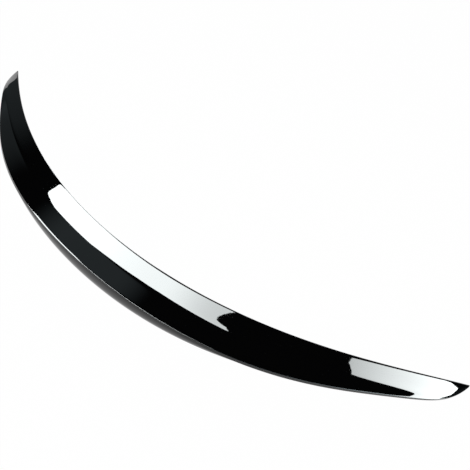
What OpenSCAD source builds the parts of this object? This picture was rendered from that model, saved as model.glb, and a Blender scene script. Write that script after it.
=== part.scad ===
// Car rear spoiler: a boot-lid blade moulded in one piece.
// X runs across the car, -Y points rearward, +Z is up.
// The origin is the middle of the bonding face, under the front edge of the flange.

/* [Plan] */
// Width over the two horn tips
span = 1240; // [1100:10:1400]
// How far the horn tips lie ahead of the middle of the front edge
tip_reach = 202; // [170:2:230]
// Depth of the blade at mid-span, front edge to lip crest
blade_depth = 68; // [56:1:90]

/* [Rear view] */
// Height of the front edge at mid-span over the horn tips
crown = 89; // [60:1:110]
// Fall of the lip crest below the front edge at mid-span
lip_fall = 1; // [0:0.5:5]

/* [Flange and crease] */
// Share of the blade depth that the flange takes at mid-span
flange_share = 0.48; // [0.4:0.01:0.55]
// Dip of the crease under the straight line from front edge to crest
crease_dip = 8; // [4:0.5:10]
// Rounding of the crease
crease_r = 3; // [1.5:0.5:6]
// Half-span share at which the line of the crease would meet the lip
crease_end = 1; // [0.94:0.01:1.06]
// Half-span share at which the crease has faded out
crease_fade = 0.93; // [0.86:0.01:0.97]
// Upward bulge of the horns between their two edges
horn_bulge = 2.5; // [1:0.1:4]

/* [Lip and rear face] */
// Radius of the lip crest
crest_r = 1.2; // [0.7:0.1:1.6]
// Depth of the bevelled band behind the crest
band_run = 2.9; // [2:0.1:4]
// Height of the bevelled band
band_h = 3.8; // [3:0.1:5]
// Step in under the band
band_step = 0.4; // [0.2:0.05:0.6]
// Height of the rear face under the band at mid-span
rear_h = 22; // [16:0.5:28]
// Height of the rear face under the band beyond the deep middle
rear_side_h = 5; // [3:0.5:8]
// Half-width of the deep middle of the rear face
rear_half = 300; // [240:5:380]
// How far the foot of the rear face stands out behind the band at mid-span
rear_out = 6.8; // [4:0.2:9]
// How far the rear face leans in under the band beyond the deep middle
rear_tuck = 1.5; // [0.5:0.1:2.5]

/* [Walls] */
// Wall of the moulding
wall = 3; // [2.4:0.1:3.6]
// Thickness of the front edge
edge_t = 2; // [1.6:0.1:2.4]
// Width over which the front edge rolls down
roll_run = 3.2; // [2:0.2:4.4]
// Distance over which the front edge thickens to the full wall
edge_run = 12; // [8:1:18]
// Height of the outer edge of the horns at their tips
horn_edge = 4.2; // [4:0.1:6]

/* [Hidden] */
half = span / 2;

// Powers and weights of the even curves along the half-span; the last weight closes each to 1 at the tip
front_n = [2, 4, 6];
front_k = [1.078, 0.022];
lip_n = [2, 4, 8, 24];
lip_k = [0.689, 0.460, -0.366];
crown_n = [2, 4];
crown_k = [0.827];
fall_n = [2, 4, 8, 24];
fall_k = [0.257, 0.269, 0.182];

// How the crease runs out and fades, where the horns bulge, how the rear face curls under and fades
crease_power = 3.6;
crease_limit = 0.96;
dip_power = 14;
bulge_power = 4;
tip_relief = 12;
deep_power = 1.3;
curl = 2.2;
fade_power = 6;

// Share of its thickness that the front edge rolls down
roll_share = 0.8;

// Small radii and walls shrink to these shares of the depth near the tips
edge_share = 0.3;
round_share = 0.2;

// Mesh steps; the stations crowd towards the tips
stations = 56;
tip_share = 0.997;
tip_crowding = 0.72;
roll_angles = [0, 30, 55, 75];
flange_steps = 5;
crease_steps = 4;
kick_steps = 4;
crest_steps = 2;
rear_steps = 5;
inner_steps = 3;
under_flange_steps = 4;
under_kick_steps = 4;
crease_band = 0.07;
band_limit = 0.82;

function sum(v, i = 0) = i < len(v) ? v[i] + sum(v, i + 1) : 0;
function curve(u, n, k) = sum([for (i = [0:len(n) - 1])
    (i < len(k) ? k[i] : 1 - sum(k)) * pow(abs(u), n[i])]);

// Front edge and lip crest at half-span share u, as [y, z]
function front_at(u) = [tip_reach * curve(u, front_n, front_k), edge_t - crown * curve(u, crown_n, crown_k)];
function crest_at(u) = [
    -blade_depth + (tip_reach + blade_depth) * curve(u, lip_n, lip_k),
    front_at(u)[1] - lip_fall * (1 - curve(u, fall_n, fall_k))];
function depth(u) = front_at(u)[0] - crest_at(u)[0];
function small(u, size) = min(size, edge_share * depth(u));

// Share of the depth at which the crease lies, how far it dips, and the bulge of the horns
function crease_share(u) = flange_share
    + (1 - flange_share) * pow(min(1, abs(u) / crease_end), crease_power);
function kick_width(u) = (1 - crease_share(u)) * depth(u);
function dip(u) = crease_dip * kick_width(u) / kick_width(0)
    * max(0, 1 - pow(abs(u) / crease_fade, dip_power));
function bulge(u) = horn_bulge * pow(abs(u), bulge_power) * min(1, (1 - abs(u)) * tip_relief);

// Height of the skin over the straight line from front edge to crest, at share t of the depth
function bend(t, a, w, r) = sqrt(pow((t - a) * w, 2) + r * r);
function skin_lift(u, t) =
    let (w = depth(u), a = min(crease_limit, crease_share(u)), r = min(crease_r, round_share * w))
    let (ends = (1 - a) * bend(0, a, w, r) + a * bend(1, a, w, r))
    let (chord = (1 - t) * bend(0, a, w, r) + t * bend(1, a, w, r))
    dip(u) * (bend(t, a, w, r) - chord) / (ends - r) + bulge(u) * 4 * t * (1 - t);
function skin_at(u, t) =
    let (f = front_at(u), c = crest_at(u))
    [f[0] + t * (c[0] - f[0]), f[1] + t * (c[1] - f[1]) + skin_lift(u, t)];
function wall_at(u, t) = edge_t + (wall - edge_t) * min(1, t * depth(u) / edge_run);
function under_at(u, t) = skin_at(u, t) - [0, wall_at(u, t)];

// Front edge rolled down as a quarter of an ellipse; angle 0 is its foot at the very front
function roll_at(u, angle) =
    let (t = small(u, roll_run) * (1 - cos(angle)) / depth(u))
    skin_at(u, t) - [0, roll_share * edge_t * (1 - sin(angle))];

// Rear face: deep and standing out in the middle, a low tucked edge beyond, fading into the horn edge
function deep(u) = pow(max(0, 1 - pow(u * half / rear_half, 2)), deep_power);
function fade(u) = 1 - pow(abs(u), fade_power);
function rear_drop(u) = (rear_side_h + band_h) * fade(u) + (rear_h - rear_side_h) * deep(u)
    + horn_edge * (1 - fade(u));
function band_top(u) = min(band_h, rear_drop(u) / 2);
function rear_top(u) = band_top(u) + small(u, band_step) / 2;
function rear_y(u, q) =
    small(u, rear_tuck) * (1 - deep(u)) * q - rear_out * deep(u) * q * (curl + (1 - curl) * q);
function rear_slope(u, q) =
    (small(u, rear_tuck) * (1 - deep(u)) - rear_out * deep(u) * (curl + 2 * (1 - curl) * q))
    / (rear_drop(u) - rear_top(u));
function back_at(u, q) = small(u, wall) * norm([1, rear_slope(u, q)]);

// Shares of the depth for the points of the skin and of the underside, close together at the crease
function shares(u) =
    let (a = min(band_limit, crease_share(u)), first = small(u, roll_run) / depth(u))
    concat(
        [for (i = [0:flange_steps]) first + (a - crease_band - first) * i / flange_steps],
        [for (i = [1:crease_steps]) a + crease_band * (2 * i / crease_steps - 1)],
        [for (i = [1:kick_steps]) a + crease_band + (1 - a - crease_band) * i / kick_steps]);
function under_shares(u, last) =
    let (a = min(band_limit * last, crease_share(u)))
    concat(
        [for (i = [0:under_flange_steps]) (a - crease_band) * i / under_flange_steps],
        [a],
        [for (i = [0:under_kick_steps]) a + crease_band + (last - a - crease_band) * i / under_kick_steps]);

// Closed outline of the blade at half-span share u, as a list of [x, y, z]
function section(u) =
    let (c = crest_at(u), r = small(u, crest_r), s = small(u, band_step), run = small(u, band_run) * fade(u))
    let (lean = atan2(band_top(u), run), edge = -r * sin(lean) - run, drop = rear_drop(u), top = rear_top(u))
    let (last = 1 - (edge + s + back_at(u, 0)) / depth(u))
    let (roof = under_at(u, last)[1], low = under_shares(u, last))
    let (yz = concat(
        [for (angle = roll_angles) roll_at(u, angle)],
        [for (t = shares(u)) skin_at(u, t)],
        [for (i = [1:crest_steps])
            let (angle = lean * i / crest_steps)
            c - [r * sin(angle), r * (1 - cos(angle))]],
        [c + [edge, -band_top(u)]],
        [for (i = [0:rear_steps])
            let (q = i / rear_steps)
            c + [edge + s + rear_y(u, q), -top - (drop - top) * q]],
        [for (i = [inner_steps:-1:1])
            let (q = i / inner_steps)
            [c[0] + edge + s + rear_y(u, q) + back_at(u, q), roof + (c[1] - drop - roof) * q]],
        [for (i = [len(low) - 1:-1:0]) under_at(u, low[i])]))
    [for (p = yz) [half * u, p[0], p[1]]];

function station(i) =
    let (q = i / stations)
    tip_share * ((1 - tip_crowding) * q + tip_crowding * sin(90 * q));

module loft(rings) {
    n = len(rings[0]);
    last = len(rings) - 1;
    polyhedron(
        points = [for (ring = rings) for (p = ring) p],
        faces = concat(
            [[for (j = [0:n - 1]) j]],
            [for (i = [0:last - 1]) for (j = [0:n - 1])
                let (k = (j + 1) % n, a = i * n, b = a + n)
                each [[a + j, b + j, b + k], [a + j, b + k, a + k]]],
            [[for (j = [n - 1:-1:0]) last * n + j]]));
}

module blade() {
    color([0.02, 0.02, 0.022])
        loft([for (i = [-stations:stations]) section(i < 0 ? -station(-i) : station(i))]);
}

blade();
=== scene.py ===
import math
import bpy
import numpy as np
from mathutils import Matrix, Vector


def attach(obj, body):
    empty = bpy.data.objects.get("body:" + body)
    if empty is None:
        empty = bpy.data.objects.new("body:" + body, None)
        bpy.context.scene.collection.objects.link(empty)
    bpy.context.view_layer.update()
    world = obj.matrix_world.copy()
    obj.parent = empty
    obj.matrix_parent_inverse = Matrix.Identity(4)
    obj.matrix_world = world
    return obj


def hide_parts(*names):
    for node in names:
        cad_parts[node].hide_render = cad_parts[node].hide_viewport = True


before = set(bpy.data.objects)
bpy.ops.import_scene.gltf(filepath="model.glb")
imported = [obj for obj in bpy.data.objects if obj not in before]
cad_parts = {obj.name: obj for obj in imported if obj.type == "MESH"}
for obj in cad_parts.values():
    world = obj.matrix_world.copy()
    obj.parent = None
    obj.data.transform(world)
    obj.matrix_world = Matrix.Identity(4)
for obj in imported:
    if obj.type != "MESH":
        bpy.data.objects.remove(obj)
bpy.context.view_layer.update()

# Sizes in millimetres, with the values of the part's source
SPAN = 1240.0
HALF = SPAN / 2
TIP_REACH = 202.0
DEPTH = 68.0
CROWN = 89.0
LIP_FALL = 1.0
CREASE_DIP = 8.0
CREASE_R = 3.0
HORN_BULGE = 2.5
CREST_R = 1.2
BAND_RUN = 2.9
BAND_H = 3.8
BAND_STEP = 0.4
REAR_H = 22.0
REAR_SIDE_H = 5.0
REAR_HALF = 300.0
REAR_OUT = 6.8
REAR_TUCK = 1.5
WALL = 3.0
EDGE_T = 2.0
ROLL_RUN = 3.2
EDGE_RUN = 12.0
HORN_EDGE = 4.2

# Shares and powers, with the values of the part's source
FLANGE_SHARE = 0.48
CREASE_END = 1.0
CREASE_FADE = 0.93
CREASE_POWER = 3.6
CREASE_LIMIT = 0.96
DIP_POWER = 14
BULGE_POWER = 4
TIP_RELIEF = 12
DEEP_POWER = 1.3
CURL = 2.2
FADE_POWER = 6
ROLL_SHARE = 0.8
EDGE_SHARE = 0.3
ROUND_SHARE = 0.2
TIP_SHARE = 0.997
TIP_CROWDING = 0.72

# Even curves along the half-span, as powers and weights; the weights of each add up to 1
FRONT_CURVE = ((2, 1.078), (4, 0.022), (6, -0.1))
LIP_CURVE = ((2, 0.689), (4, 0.460), (8, -0.366), (24, 0.217))
CROWN_CURVE = ((2, 0.827), (4, 0.173))
FALL_CURVE = ((2, 0.257), (4, 0.269), (8, 0.182), (24, 0.292))

# Mesh steps, finer than in the part's source
STATIONS = 200
SKIN_STEPS = 44
CREST_STEPS = 8
REAR_POINTS = 19
INSIDE_POINTS = 8
INSIDE_END = 0.1
UNDER_STEPS = 30
ROLL_ANGLES = (0, 12, 24, 36, 48, 60, 72, 82)
SHARP_ANGLE = 38

# Spacing of points around the crease: the least, what it gains away from the crease, and how fast
LEAST_SPACING = 0.35
SPACING_GAIN = 1.3
SPACING_RATE = 3.2

# How close the points that keep the edges of the bevelled band crisp lie to them
BAND_EASE = 0.1
FOOT_EASE = 0.02
STEP_EASE = 0.1


# Curves of the blade at half-span share u, from 0 at mid-span to 1 at the tip
def curve(u, terms):
    return sum(weight * u ** power for power, weight in terms)


def front_at(u):
    """Front edge, as [y, z]."""
    return np.array([TIP_REACH * curve(u, FRONT_CURVE), EDGE_T - CROWN * curve(u, CROWN_CURVE)])


def crest_at(u):
    """Crest of the lip, as [y, z]."""
    y = -DEPTH + (TIP_REACH + DEPTH) * curve(u, LIP_CURVE)
    z = front_at(u)[1] - LIP_FALL * (1 - curve(u, FALL_CURVE))
    return np.array([y, z])


def depth(u):
    return front_at(u)[0] - crest_at(u)[0]


def small(u, size):
    """A small size, which shrinks with the depth near the tip."""
    return min(size, EDGE_SHARE * depth(u))


def crease_share(u):
    """Share of the depth at which the crease lies."""
    return FLANGE_SHARE + (1 - FLANGE_SHARE) * min(1, u / CREASE_END) ** CREASE_POWER


def dip(u):
    """How far the crease dips under the straight line from front edge to crest."""
    kick = (1 - crease_share(u)) * depth(u) / ((1 - FLANGE_SHARE) * DEPTH)
    return CREASE_DIP * kick * max(0, 1 - (u / CREASE_FADE) ** DIP_POWER)


def deep(u):
    """1 at mid-span, falling to 0 where the deep middle of the rear face ends."""
    return max(0, 1 - (u * HALF / REAR_HALF) ** 2) ** DEEP_POWER


def fade(u):
    """1 at mid-span, falling to 0 at the tip, where the rear face has become the horn edge."""
    return 1 - u ** FADE_POWER


def rear_drop(u):
    """Height from the crest down to the foot of the rear face."""
    low = (REAR_SIDE_H + BAND_H) * fade(u)
    return low + (REAR_H - REAR_SIDE_H) * deep(u) + HORN_EDGE * u ** FADE_POWER


# Skin and underside
def bend(t, a, w, r):
    return np.sqrt(((t - a) * w) ** 2 + r * r)


def skin(u, t):
    """Points [y, z] of the skin at shares t of the depth."""
    front = front_at(u)
    crest = crest_at(u)
    w = depth(u)
    a = min(CREASE_LIMIT, crease_share(u))
    r = min(CREASE_R, ROUND_SHARE * w)
    ends = (1 - a) * bend(0, a, w, r) + a * bend(1, a, w, r)
    chord = (1 - t) * bend(0, a, w, r) + t * bend(1, a, w, r)
    bulge = HORN_BULGE * u ** BULGE_POWER * min(1, (1 - u) * TIP_RELIEF) * 4 * t * (1 - t)
    lift = dip(u) * (bend(t, a, w, r) - chord) / (ends - r) + bulge
    y = front[0] + t * (crest[0] - front[0])
    z = front[1] + t * (crest[1] - front[1]) + lift
    return np.stack([y, z], axis=-1)


def under(u, t):
    """Points [y, z] of the underside at shares t of the depth."""
    points = skin(u, t)
    points[:, 1] -= EDGE_T + (WALL - EDGE_T) * np.minimum(1, t * depth(u) / EDGE_RUN)
    return points


def crowded(first, last, steps, middle):
    """Shares from first to last that stand closer together around the middle."""
    even = np.linspace(first, last, steps + 1)
    spacing = LEAST_SPACING + SPACING_GAIN * np.minimum(1, np.abs(even - middle) * SPACING_RATE)
    way = np.concatenate([[0], np.cumsum((spacing[1:] + spacing[:-1]) / 2)])
    return first + (last - first) * way / way[-1]


# Bevelled band and rear face; q runs from 0 at the top of the rear face to 1 at its foot
def band_height(u):
    return min(BAND_H, rear_drop(u) / 2)


def band_run(u):
    return small(u, BAND_RUN) * fade(u)


def band_lean(u):
    return math.atan2(band_height(u), band_run(u))


def band_foot(u):
    """Y of the foot of the band, from the crest."""
    return -small(u, CREST_R) * math.sin(band_lean(u)) - band_run(u)


def rear_top(u):
    """Height from the crest down to the top of the rear face."""
    return band_height(u) + small(u, BAND_STEP) / 2


def tuck(u):
    return small(u, REAR_TUCK) * (1 - deep(u))


def rear_y(u, q):
    """Y of the rear face, from the crest."""
    start = band_foot(u) + small(u, BAND_STEP)
    return start + tuck(u) * q - REAR_OUT * deep(u) * q * (CURL + (1 - CURL) * q)


def wall_behind(u, q):
    """Wall of the rear face, measured along Y."""
    fall = tuck(u) - REAR_OUT * deep(u) * (CURL + 2 * (1 - CURL) * q)
    return small(u, WALL) * math.hypot(1, fall / (rear_drop(u) - rear_top(u)))


# Stretches of the outline of a section, each a list of [y, z]
def rolled_edge(u):
    """Front edge rolled down as a quarter of an ellipse."""
    points = []
    for angle in np.radians(ROLL_ANGLES):
        t = small(u, ROLL_RUN) * (1 - math.cos(angle)) / depth(u)
        down = ROLL_SHARE * EDGE_T * (1 - math.sin(angle))
        points.append(skin(u, np.array([t]))[0] - [0, down])
    return points


def upper_skin(u):
    first = small(u, ROLL_RUN) / depth(u)
    return list(skin(u, crowded(first, 1, SKIN_STEPS, crease_share(u))))


def crest_arc(u):
    r = small(u, CREST_R)
    lean = band_lean(u)
    angles = np.linspace(lean / CREST_STEPS, lean, CREST_STEPS)
    return [crest_at(u) - [r * math.sin(angle), r * (1 - math.cos(angle))] for angle in angles]


def band_end(u):
    """Points close to the foot of the band, and one on the step under it."""
    crest = crest_at(u)
    step = small(u, BAND_STEP)
    foot = band_foot(u)
    height = band_height(u)
    rounded = small(u, CREST_R) * (1 - math.cos(band_lean(u)))
    return [
        crest + [foot + BAND_EASE * band_run(u), -height + BAND_EASE * (height - rounded)],
        crest + [foot + FOOT_EASE * step, -height - FOOT_EASE * step],
        crest + [foot + step / 2, -rear_top(u) - STEP_EASE * step]]


def rear_face(u):
    crest = crest_at(u)
    top = rear_top(u)
    height = rear_drop(u) - top
    return [crest + [rear_y(u, q), -top - height * q] for q in np.linspace(0, 1, REAR_POINTS)]


def inner_face(u, roof):
    """Inside of the rear face, from its foot up to the roof, which is the height of the underside there."""
    crest = crest_at(u)
    foot = crest[1] - rear_drop(u)
    points = []
    for q in np.linspace(1, INSIDE_END, INSIDE_POINTS):
        y = crest[0] + rear_y(u, q) + wall_behind(u, q)
        points.append(np.array([y, roof + (foot - roof) * q]))
    return points


def section(u):
    """Closed outline at half-span share u."""
    last = 1 - (rear_y(u, 0) + wall_behind(u, 0)) / depth(u)
    roof = under(u, np.array([last]))[0, 1]
    low = under(u, crowded(0, last, UNDER_STEPS, crease_share(u) * last))
    outside = rolled_edge(u) + upper_skin(u) + crest_arc(u) + band_end(u) + rear_face(u)
    return np.array(outside + inner_face(u, roof) + list(low[::-1]))


# Mesh of the blade
def station(i):
    """Half-span share of a section; the sections crowd towards the tip."""
    q = i / STATIONS
    return TIP_SHARE * ((1 - TIP_CROWDING) * q + TIP_CROWDING * math.sin(math.pi / 2 * q))


def blade_mesh():
    rings = []
    for i in range(-STATIONS, STATIONS + 1):
        u = station(abs(i))
        yz = section(u)
        x = math.copysign(HALF * u, i)
        rings.append(np.column_stack([np.full(len(yz), x), yz]))
    n = len(rings[0])
    end = 2 * STATIONS * n
    faces = [(i + j, i + (j + 1) % n, i + n + (j + 1) % n, i + n + j)
             for i in range(0, end, n) for j in range(n)]
    faces.append(tuple(range(n - 1, -1, -1)))
    faces.append(tuple(range(end, end + n)))
    mesh = bpy.data.meshes.new("blade_skin")
    mesh.from_pydata((np.concatenate(rings) / 1000).tolist(), [], faces)
    mesh.validate()
    mesh.polygons.foreach_set("use_smooth", [True] * len(mesh.polygons))
    mesh.set_sharp_from_angle(angle=math.radians(SHARP_ANGLE))
    return mesh


# Objects and nodes
def add_object(name, data):
    obj = bpy.data.objects.new(name, data)
    bpy.context.scene.collection.objects.link(obj)
    return obj


def hide_from(obj, *rays):
    for ray in rays:
        setattr(obj, "visible_" + ray, False)


def new_material(name):
    mat = bpy.data.materials.new(name)
    mat.use_nodes = True
    mat.node_tree.nodes.clear()
    return mat, mat.node_tree


def node(tree, kind, **values):
    """A node with its settings (attributes) and inputs (names with an underscore for a space)."""
    made = tree.nodes.new(kind)
    for key, value in values.items():
        if hasattr(made, key):
            setattr(made, key, value)
        else:
            made.inputs[key.replace("_", " ")].default_value = value
    return made


def link(tree, source, target, out=0):
    tree.links.new(source.outputs[out], target)


def math_node(tree, operation, a, b=0.0, clamp=False):
    """The result of a Math node; a and b are numbers or output sockets."""
    made = node(tree, "ShaderNodeMath", operation=operation, use_clamp=clamp)
    for place, value in enumerate((a, b)):
        if isinstance(value, (int, float)):
            made.inputs[place].default_value = value
        else:
            tree.links.new(value, made.inputs[place])
    return made.outputs[0]


def ramp(tree, value, start, end, low, high):
    """low at start to high at end, eased and held outside."""
    made = node(tree, "ShaderNodeMapRange", From_Min=start, From_Max=end, To_Min=low, To_Max=high)
    made.interpolation_type = "SMOOTHSTEP"
    tree.links.new(value, made.inputs["Value"])
    return made.outputs["Result"]


def mix_shaders(tree, share, first, second):
    """The first shader where the share is 0, the second where it is 1."""
    made = node(tree, "ShaderNodeMixShader")
    tree.links.new(share, made.inputs["Fac"])
    link(tree, first, made.inputs[1])
    link(tree, second, made.inputs[2])
    return made


def background_rays(tree):
    """1 for the rays that see the white background, which are camera, glossy and transmission rays."""
    path = node(tree, "ShaderNodeLightPath")
    seen = math_node(tree, "ADD", path.outputs["Is Camera Ray"], path.outputs["Is Glossy Ray"])
    return math_node(tree, "ADD", seen, path.outputs["Is Transmission Ray"], clamp=True)


def direction(azimuth, height):
    """Unit vector; azimuth in degrees from -Y towards +X, height in degrees over the horizon."""
    a = math.radians(azimuth)
    h = math.radians(height)
    return Vector((math.sin(a) * math.cos(h), -math.cos(a) * math.cos(h), math.sin(h)))


# Gloss-black moulding
def gloss_black():
    """Black gloss with a faint orange peel, and a polish that varies a little from place to place."""
    mat, tree = new_material("gloss_black")
    end = node(tree, "ShaderNodeOutputMaterial")
    paint = node(tree, "ShaderNodeBsdfPrincipled", Base_Color=(0.001, 0.001, 0.0011, 1), IOR=1.55)
    where = node(tree, "ShaderNodeTexCoord")
    cloud = node(tree, "ShaderNodeTexNoise", Scale=14.0, Detail=3.0)
    polish = node(tree, "ShaderNodeMapRange", To_Min=0.012, To_Max=0.028)
    peel = node(tree, "ShaderNodeTexNoise", Scale=260.0, Detail=2.0)
    bump = node(tree, "ShaderNodeBump", Strength=0.012, Distance=0.0004)
    link(tree, where, cloud.inputs["Vector"], "Object")
    link(tree, where, peel.inputs["Vector"], "Object")
    link(tree, cloud, polish.inputs["Value"], "Fac")
    link(tree, polish, paint.inputs["Roughness"])
    link(tree, peel, bump.inputs["Height"], "Fac")
    link(tree, bump, paint.inputs["Normal"])
    link(tree, paint, end.inputs["Surface"])
    return mat


blade = add_object("blade_skin", blade_mesh())
blade.data.materials.append(gloss_black())
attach(blade, "root")
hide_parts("blade")

# Camera: place in metres, angles in degrees, focal length and frame in pixels, film in millimetres
EYE = (0.2901, -0.1137, 0.5336)
CAMERA_AZIMUTH = 30.47
CAMERA_HEIGHT = 61.56
CAMERA_ROLL = 7.937
FOCAL_PX = 340.8
FRAME_PX = 470.0
FILM = 36.0


def add_camera():
    forward = -direction(CAMERA_AZIMUTH, CAMERA_HEIGHT)
    level = direction(CAMERA_AZIMUTH + 90, 0)
    upward = level.cross(forward)
    roll = math.radians(CAMERA_ROLL)
    right = math.cos(roll) * level + math.sin(roll) * upward
    up = math.cos(roll) * upward - math.sin(roll) * level
    lens = bpy.data.cameras.new("camera")
    lens.sensor_width = FILM
    lens.lens = FILM * FOCAL_PX / FRAME_PX
    camera = add_object("camera", lens)
    turn = Matrix((right, up, -forward)).transposed()
    camera.matrix_world = Matrix.Translation(EYE) @ turn.to_4x4()
    bpy.context.scene.camera = camera


add_camera()


# Light cards
def light_card(name, corners, strength, axis, gains):
    """A flat card that shows in gloss only; each gain (start, end, amount) adds strength along the axis."""
    plate = bpy.data.meshes.new(name)
    plate.from_pydata(corners, [], [tuple(range(len(corners)))])
    card = add_object(name, plate)
    mat, tree = new_material(name)
    end = node(tree, "ShaderNodeOutputMaterial")
    glow = node(tree, "ShaderNodeEmission", Color=(0.95, 1.0, 1.0, 1))
    place = node(tree, "ShaderNodeTexCoord")
    split = node(tree, "ShaderNodeSeparateXYZ")
    link(tree, place, split.inputs[0], "Object")
    for start, stop, amount in gains:
        more = ramp(tree, split.outputs[axis], start, stop, 0.0, amount)
        strength = math_node(tree, "ADD", more, strength)
    tree.links.new(strength, glow.inputs["Strength"])
    link(tree, glow, end.inputs["Surface"])
    plate.materials.append(mat)
    hide_from(card, "camera", "diffuse", "shadow")


# The left card lies level overhead, the right one and the front one stand upright; outlines in metres
LEFT_Z = 1.7
LEFT_OUTLINE = (
    (-2.85, -0.85), (-1.5, -0.85), (-0.9, -1.2), (0.0, -1.25), (0.4, -0.85), (0.42, -0.55),
    (0.55, -0.44), (0.5, -0.1), (0.43, 0.0), (0.1, -0.22), (-0.2, -0.36), (-0.5, -0.3),
    (-0.9, 0.1), (-1.2, 0.65), (-1.9, 0.87), (-2.1, 0.1), (-2.4, -0.3), (-2.7, -0.6))
RIGHT_X = 2.2
RIGHT_OUTLINE = (
    (0.6, 0.48), (0.4, 0.56), (0.52, 1.0), (0.5, 1.4), (0.2, 2.1), (0.25, 2.16),
    (0.35, 2.13), (0.85, 1.67), (1.2, 1.4), (1.7, 1.08), (1.13, 0.79), (0.86, 0.61))
FRONT_CORNERS = ((-1.12, 1.2, -0.34), (-0.5, 1.35, -0.34), (-0.5, 1.35, 0.85), (-1.12, 1.2, 0.95))

left_corners = [(x, y, LEFT_Z) for x, y in LEFT_OUTLINE]
right_corners = [(RIGHT_X, y, z) for y, z in RIGHT_OUTLINE]
LEFT_GAINS = ((0.45, -0.25, 7.0), (-0.25, -1.3, 2.5))
RIGHT_GAINS = ((2.4, 0.7, 12.0),)
FRONT_GAINS = ((-0.5, -1.12, 4.0),)
light_card("card_left", left_corners, strength=13.0, axis="X", gains=LEFT_GAINS)
light_card("card_right", right_corners, strength=10.0, axis="Z", gains=RIGHT_GAINS)
light_card("card_front", FRONT_CORNERS, strength=12.0, axis="X", gains=FRONT_GAINS)

# Floor, in metres; its white is glow, apart from a small share of matt paper that takes the shadow
FLOOR_SIZE = 30
FLOOR_PLACE = (-0.25, -0.15, -0.35)
GLOW_SHARE = 0.985


def add_floor():
    """White paper to the rays that see the background, matt paper to the rest, and clear from below."""
    bpy.ops.mesh.primitive_plane_add(size=FLOOR_SIZE, location=FLOOR_PLACE)
    floor = bpy.context.object
    floor.name = "floor"
    paper, tree = new_material("paper")
    end = node(tree, "ShaderNodeOutputMaterial")
    matt = node(tree, "ShaderNodeBsdfDiffuse", Color=(0.8, 0.8, 0.8, 1))
    white = node(tree, "ShaderNodeEmission", Strength=1.0)
    clear = node(tree, "ShaderNodeBsdfTransparent")
    side = node(tree, "ShaderNodeNewGeometry")
    share = math_node(tree, "MULTIPLY", background_rays(tree), GLOW_SHARE)
    above = mix_shaders(tree, share, matt, white)
    sheet = mix_shaders(tree, side.outputs["Backfacing"], above, clear)
    link(tree, sheet, end.inputs["Surface"])
    floor.data.materials.append(paper)


add_floor()

# Softbox overhead, which lights but shows neither to the camera nor in gloss; metres and watts
SOFTBOX_SIZE = 2.4
SOFTBOX_HEIGHT = 2.2
SOFTBOX_POWER = 60


def add_softbox():
    lamp = bpy.data.lights.new("softbox", "AREA")
    lamp.shape = "RECTANGLE"
    lamp.size = SOFTBOX_SIZE
    lamp.size_y = SOFTBOX_SIZE
    lamp.energy = SOFTBOX_POWER
    softbox = add_object("softbox", lamp)
    softbox.location = (0, 0, SOFTBOX_HEIGHT)
    hide_from(softbox, "camera", "glossy")


add_softbox()

# Dark canopy over the studio; radius in metres, rim, step and edges of the dim band in degrees
CANOPY_RADIUS = 9.0
RIM = 3
CANOPY_STEP = 6
DIM_BAND_TOP = 23
DIM_BAND_FULL = 12
DIM_BAND = 0.09

# Soft glows on the canopy: azimuth, height, outer and inner half-angle in degrees, and strength
GLOWS = (
    (-133, 46.5, 14, 6, 0.36), (-112, 22, 10.5, 3, 0.14), (33, 45, 12, 3, 2.5),
    (50, 39, 12, 3, 4.0), (64, 30, 12, 3, 6.0), (76, 18, 14, 3, 14.0))


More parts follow.
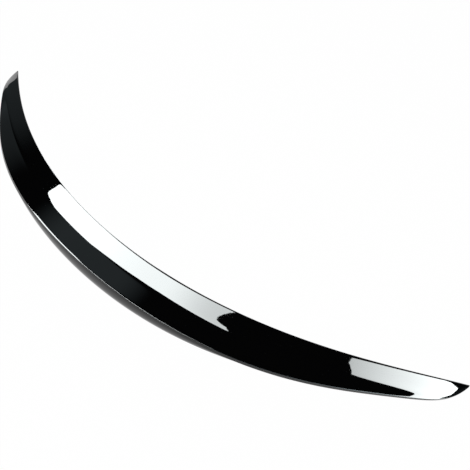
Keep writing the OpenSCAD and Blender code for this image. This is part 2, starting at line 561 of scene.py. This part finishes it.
def canopy_mesh():
    azimuths = range(0, 360, CANOPY_STEP)
    heights = range(RIM, 90, CANOPY_STEP)
    points = [CANOPY_RADIUS * direction(azimuth, height) for height in heights for azimuth in azimuths]
    n = len(azimuths)
    top = len(points) - n
    faces = [(i + j, i + (j + 1) % n, i + n + (j + 1) % n, i + n + j)
             for i in range(0, top, n) for j in range(n)]
    faces.append(tuple(range(top, len(points))))
    mesh = bpy.data.meshes.new("canopy")
    mesh.from_pydata(points, [], faces)
    return mesh


def canopy_cloth():
    """Dark cloth with a dim band near the horizon and soft glows."""
    cloth, tree = new_material("canopy")
    end = node(tree, "ShaderNodeOutputMaterial")
    light = node(tree, "ShaderNodeEmission", Color=(0.78, 0.94, 1.0, 1))
    place = node(tree, "ShaderNodeTexCoord")
    toward = node(tree, "ShaderNodeVectorMath", operation="NORMALIZE")
    link(tree, place, toward.inputs[0], "Object")
    split = node(tree, "ShaderNodeSeparateXYZ")
    link(tree, toward, split.inputs[0])
    top = math.sin(math.radians(DIM_BAND_TOP))
    full = math.sin(math.radians(DIM_BAND_FULL))
    level = ramp(tree, split.outputs["Z"], top, full, 0.0, DIM_BAND)
    for azimuth, height, wide, narrow, gain in GLOWS:
        near = node(tree, "ShaderNodeVectorMath", operation="DOT_PRODUCT")
        link(tree, toward, near.inputs[0])
        near.inputs[1].default_value = direction(azimuth, height)
        outer = math.cos(math.radians(wide))
        inner = math.cos(math.radians(narrow))
        level = math_node(tree, "ADD", level, ramp(tree, near.outputs["Value"], outer, inner, 0.0, gain))
    tree.links.new(level, light.inputs["Strength"])
    link(tree, light, end.inputs["Surface"])
    return cloth


def add_canopy():
    """It shows in gloss only, and hides the white world there from its rim up."""
    canopy = add_object("canopy", canopy_mesh())
    canopy.data.materials.append(canopy_cloth())
    hide_from(canopy, "camera", "diffuse", "shadow", "transmission")


add_canopy()

# World: white to the rays that see the background, and a plain level of light for the rest
WORLD_LIGHT = 0.3


def add_world():
    world = bpy.data.worlds.new("world")
    bpy.context.scene.world = world
    world.use_nodes = True
    tree = world.node_tree
    tree.nodes.clear()
    end = node(tree, "ShaderNodeOutputWorld")
    plain = node(tree, "ShaderNodeBackground", Color=(1, 1, 1, 1), Strength=WORLD_LIGHT)
    white = node(tree, "ShaderNodeBackground", Color=(1, 1, 1, 1), Strength=1.0)
    link(tree, mix_shaders(tree, background_rays(tree), plain, white), end.inputs["Surface"])


add_world()

scene = bpy.context.scene
scene.view_settings.view_transform = "Standard"
